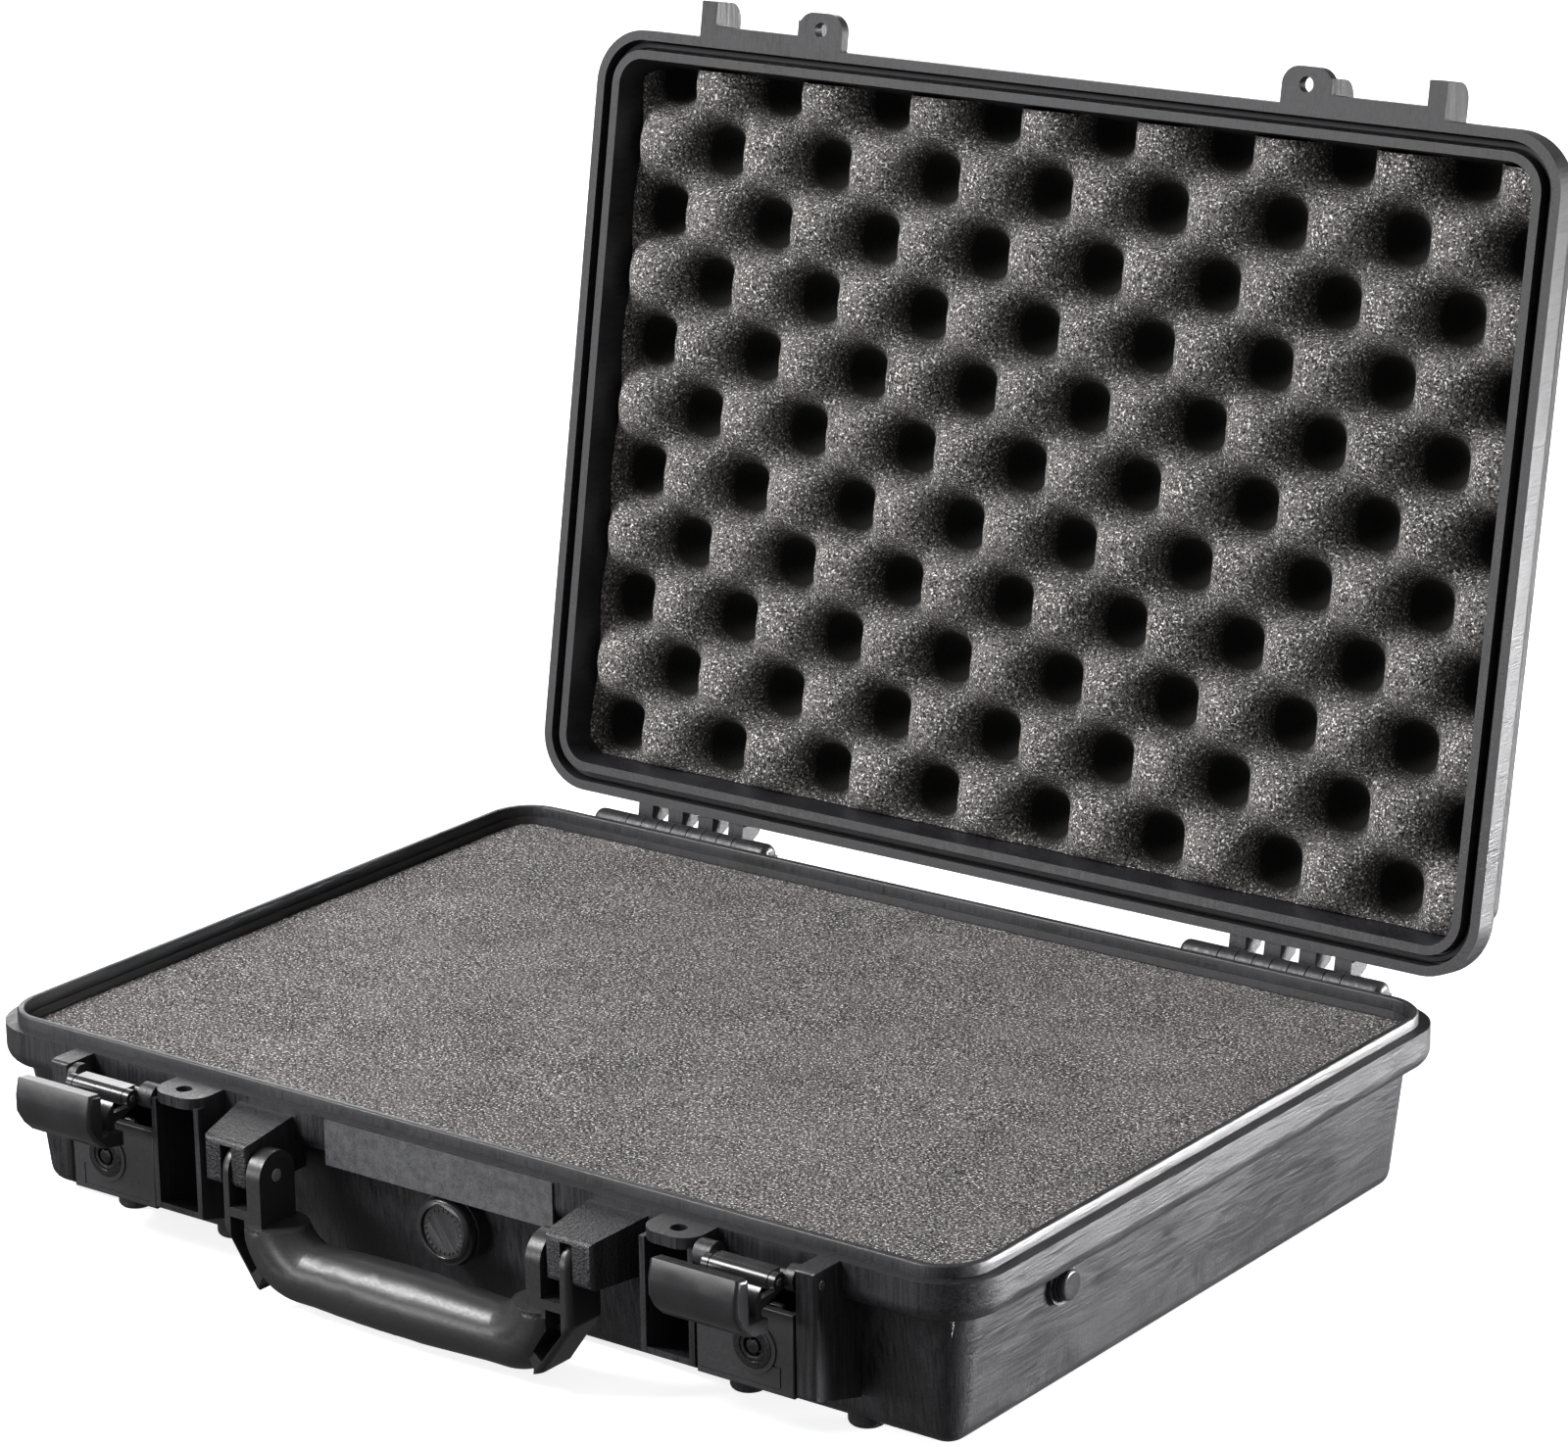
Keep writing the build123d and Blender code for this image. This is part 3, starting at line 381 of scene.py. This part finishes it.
# ------------------------------------------------------------------- key locks
# A satin cover plate with a black-plated barrel; the round plug turns the cam
# that blocks the latch.
plate_black = Finish("plate_black", (0.026, 0.026, 0.028), 0.42)
plate_grain = plate_black.grain(0.0009, detail=3.0, roughness=0.6)
plate_black.varied(plate_grain, 0.38, 0.52, (0.020, 0.020, 0.022), (0.034, 0.034, 0.036))
plate_black.relief(plate_grain, depth=0.00008, strength=0.5)

lock_metal = Finish("plated_lock", (0.030, 0.030, 0.032), 0.30, metallic=0.7)
lock_metal.varied(lock_metal.grain(0.0010), 0.24, 0.38, (0.022, 0.022, 0.024), (0.060, 0.060, 0.062))

for side in "rl":
    moulded("lock_plate_" + side, plate_black.material, edge=0.0003, flats=True)
    moulded("lock_body_" + side, lock_metal.material, edge=0.0002)
    moulded("lock_plug_" + side, lock_metal.material, edge=0.00015)
    moulded("lock_cam_" + side, pin_steel.material, edge=0.0002)


# --------------------------------------------------------------- carry handle
# A forked nylon frame on zinc-plated pins in the two pads, with a soft grip
# moulded over its core.
handle_black = Finish("handle_black", (0.020, 0.020, 0.021), 0.36)
handle_grain = handle_black.grain(0.0012, detail=3.0, roughness=0.6)
handle_black.varied(handle_grain, 0.32, 0.44, (0.017, 0.017, 0.018), (0.026, 0.026, 0.027))
handle_black.relief(handle_grain, depth=0.00005, strength=0.4)

grip_black = Finish("grip_black", (0.024, 0.024, 0.025), 0.40)
grip_grain = grip_black.grain(0.0010, detail=3.0, roughness=0.6)
grip_black.varied(grip_grain, 0.30, 0.42, (0.020, 0.020, 0.021), (0.032, 0.032, 0.033))
grip_black.relief(grip_grain, depth=0.00006, strength=0.5)

pin_zinc = Finish("zinc_plated", (0.60, 0.60, 0.61), 0.50, metallic=1.0)
pin_zinc.varied(pin_zinc.grain(0.0008), 0.42, 0.58, (0.52, 0.52, 0.53), (0.72, 0.72, 0.73))

for side in "rl":
    moulded("handle_pin_" + side, pin_zinc.material, edge=0.0002)
moulded("handle_frame", handle_black.material, edge=0.0008, flats=True)
moulded("handle_grip", grip_black.material, edge=0.0005)


# ------------------------------------------------- pressure valve and fittings
# The screw-in valve lets air pass when the case changes height; domed studs
# close the strap holes in the end walls.
moulded("valve_body", gloss_black.material, edge=0.0003)
moulded("valve_face", plate_black.material, edge=0.0001)
moulded("valve_seal", seal_rubber.material, edge=0.0)
for side in "rl":
    moulded("strap_washer_" + side, shell_black, edge=0.0002)
    moulded("strap_stud_" + side, gloss_black.material, edge=0.0002)


# --------------------------------------------------------------------- studio
# A white sweep that only the camera sees, so it adds no light and no
# reflections; a key box from the upper left, soft boxes behind and low in
# front, and a narrow beam along the right end.
sweep_size = 14.0
floor_shape = bmesh.new()
bmesh.ops.create_grid(floor_shape, x_segments=1, y_segments=1, size=sweep_size)
floor_mesh = bpy.data.meshes.new("studio_floor")
floor_shape.to_mesh(floor_mesh)
floor_shape.free()
floor_white = Finish("floor_white", (0.86,) * 3, 0.85, Emission_Strength=0.8, Emission_Color=(1, 1, 1, 1))
floor_cloud = floor_white.grain(0.9)
floor_white.feed("Base Color", floor_white.mixed(floor_cloud, (0.85, 0.85, 0.85, 1), (0.88, 0.88, 0.88, 1)))
floor_mesh.materials.append(floor_white.material)
floor = bpy.data.objects.new("studio_floor", floor_mesh)
bpy.context.scene.collection.objects.link(floor)
floor.visible_diffuse = False
floor.visible_glossy = False


def soft_box(name, place, target, width, depth, power):
    """Rectangular area light aimed at a point."""
    light = bpy.data.lights.new(name, "AREA")
    light.shape = "RECTANGLE"
    light.size = width
    light.size_y = depth
    light.energy = power
    lamp = bpy.data.objects.new(name, light)
    bpy.context.scene.collection.objects.link(lamp)
    lamp.location = place
    aim = Vector(target) - Vector(place)
    lamp.rotation_euler = aim.to_track_quat("-Z", "Y").to_euler()
    return light


soft_box("key_box", (-1.30, -1.15, 1.55), (0, 0.05, 0.12), width=0.8, depth=0.8, power=62)
soft_box("rear_left_box", (-1.7, 1.9, 1.05), (0, 0, 0.07), width=1.6, depth=1.0, power=25)
soft_box("rear_right_box", (1.75, 1.55, 0.30), (0.215, 0, 0.1), width=1.6, depth=1.0, power=34)
soft_box("front_box", (-1.1, -2.2, 0.25), (0, -0.16, 0.05), width=1.8, depth=0.5, power=25)
low_box = soft_box(
    "low_right_box", (1.55, 1.15, 0.05), (0.215, -0.09, 0.02), width=1.2, depth=0.08, power=6.5
)
low_box.spread = radians(26)

world = bpy.data.worlds.new("studio_air")
bpy.context.scene.world = world
world.use_nodes = True
air = world.node_tree
direction = air.nodes.new("ShaderNodeTexCoord")
height = air.nodes.new("ShaderNodeSeparateXYZ")
fade = air.nodes.new("ShaderNodeMapRange")
air.links.new(direction.outputs["Generated"], height.inputs[0])
air.links.new(height.outputs["Z"], fade.inputs["Value"])
air.links.new(fade.outputs[0], air.nodes["Background"].inputs["Strength"])
air.nodes["Background"].inputs["Color"].default_value = (1.0, 1.0, 1.0, 1.0)
for socket, value in {"From Min": -0.25, "From Max": 0.6, "To Min": 0.14, "To Max": 0.38}.items():
    fade.inputs[socket].default_value = value

lens = bpy.data.cameras.new("case_camera")
lens.lens = 120.13
lens.sensor_width = 36.0
lens.clip_end = 50.0
camera = bpy.data.objects.new("case_camera", lens)
bpy.context.scene.collection.objects.link(camera)
camera.location = (1.0770, -1.3843, 0.7164)
camera.rotation_euler = (radians(72.8358), radians(0.8012), radians(36.7647))
bpy.context.scene.camera = camera
bpy.context.scene.view_settings.view_transform = "Standard"
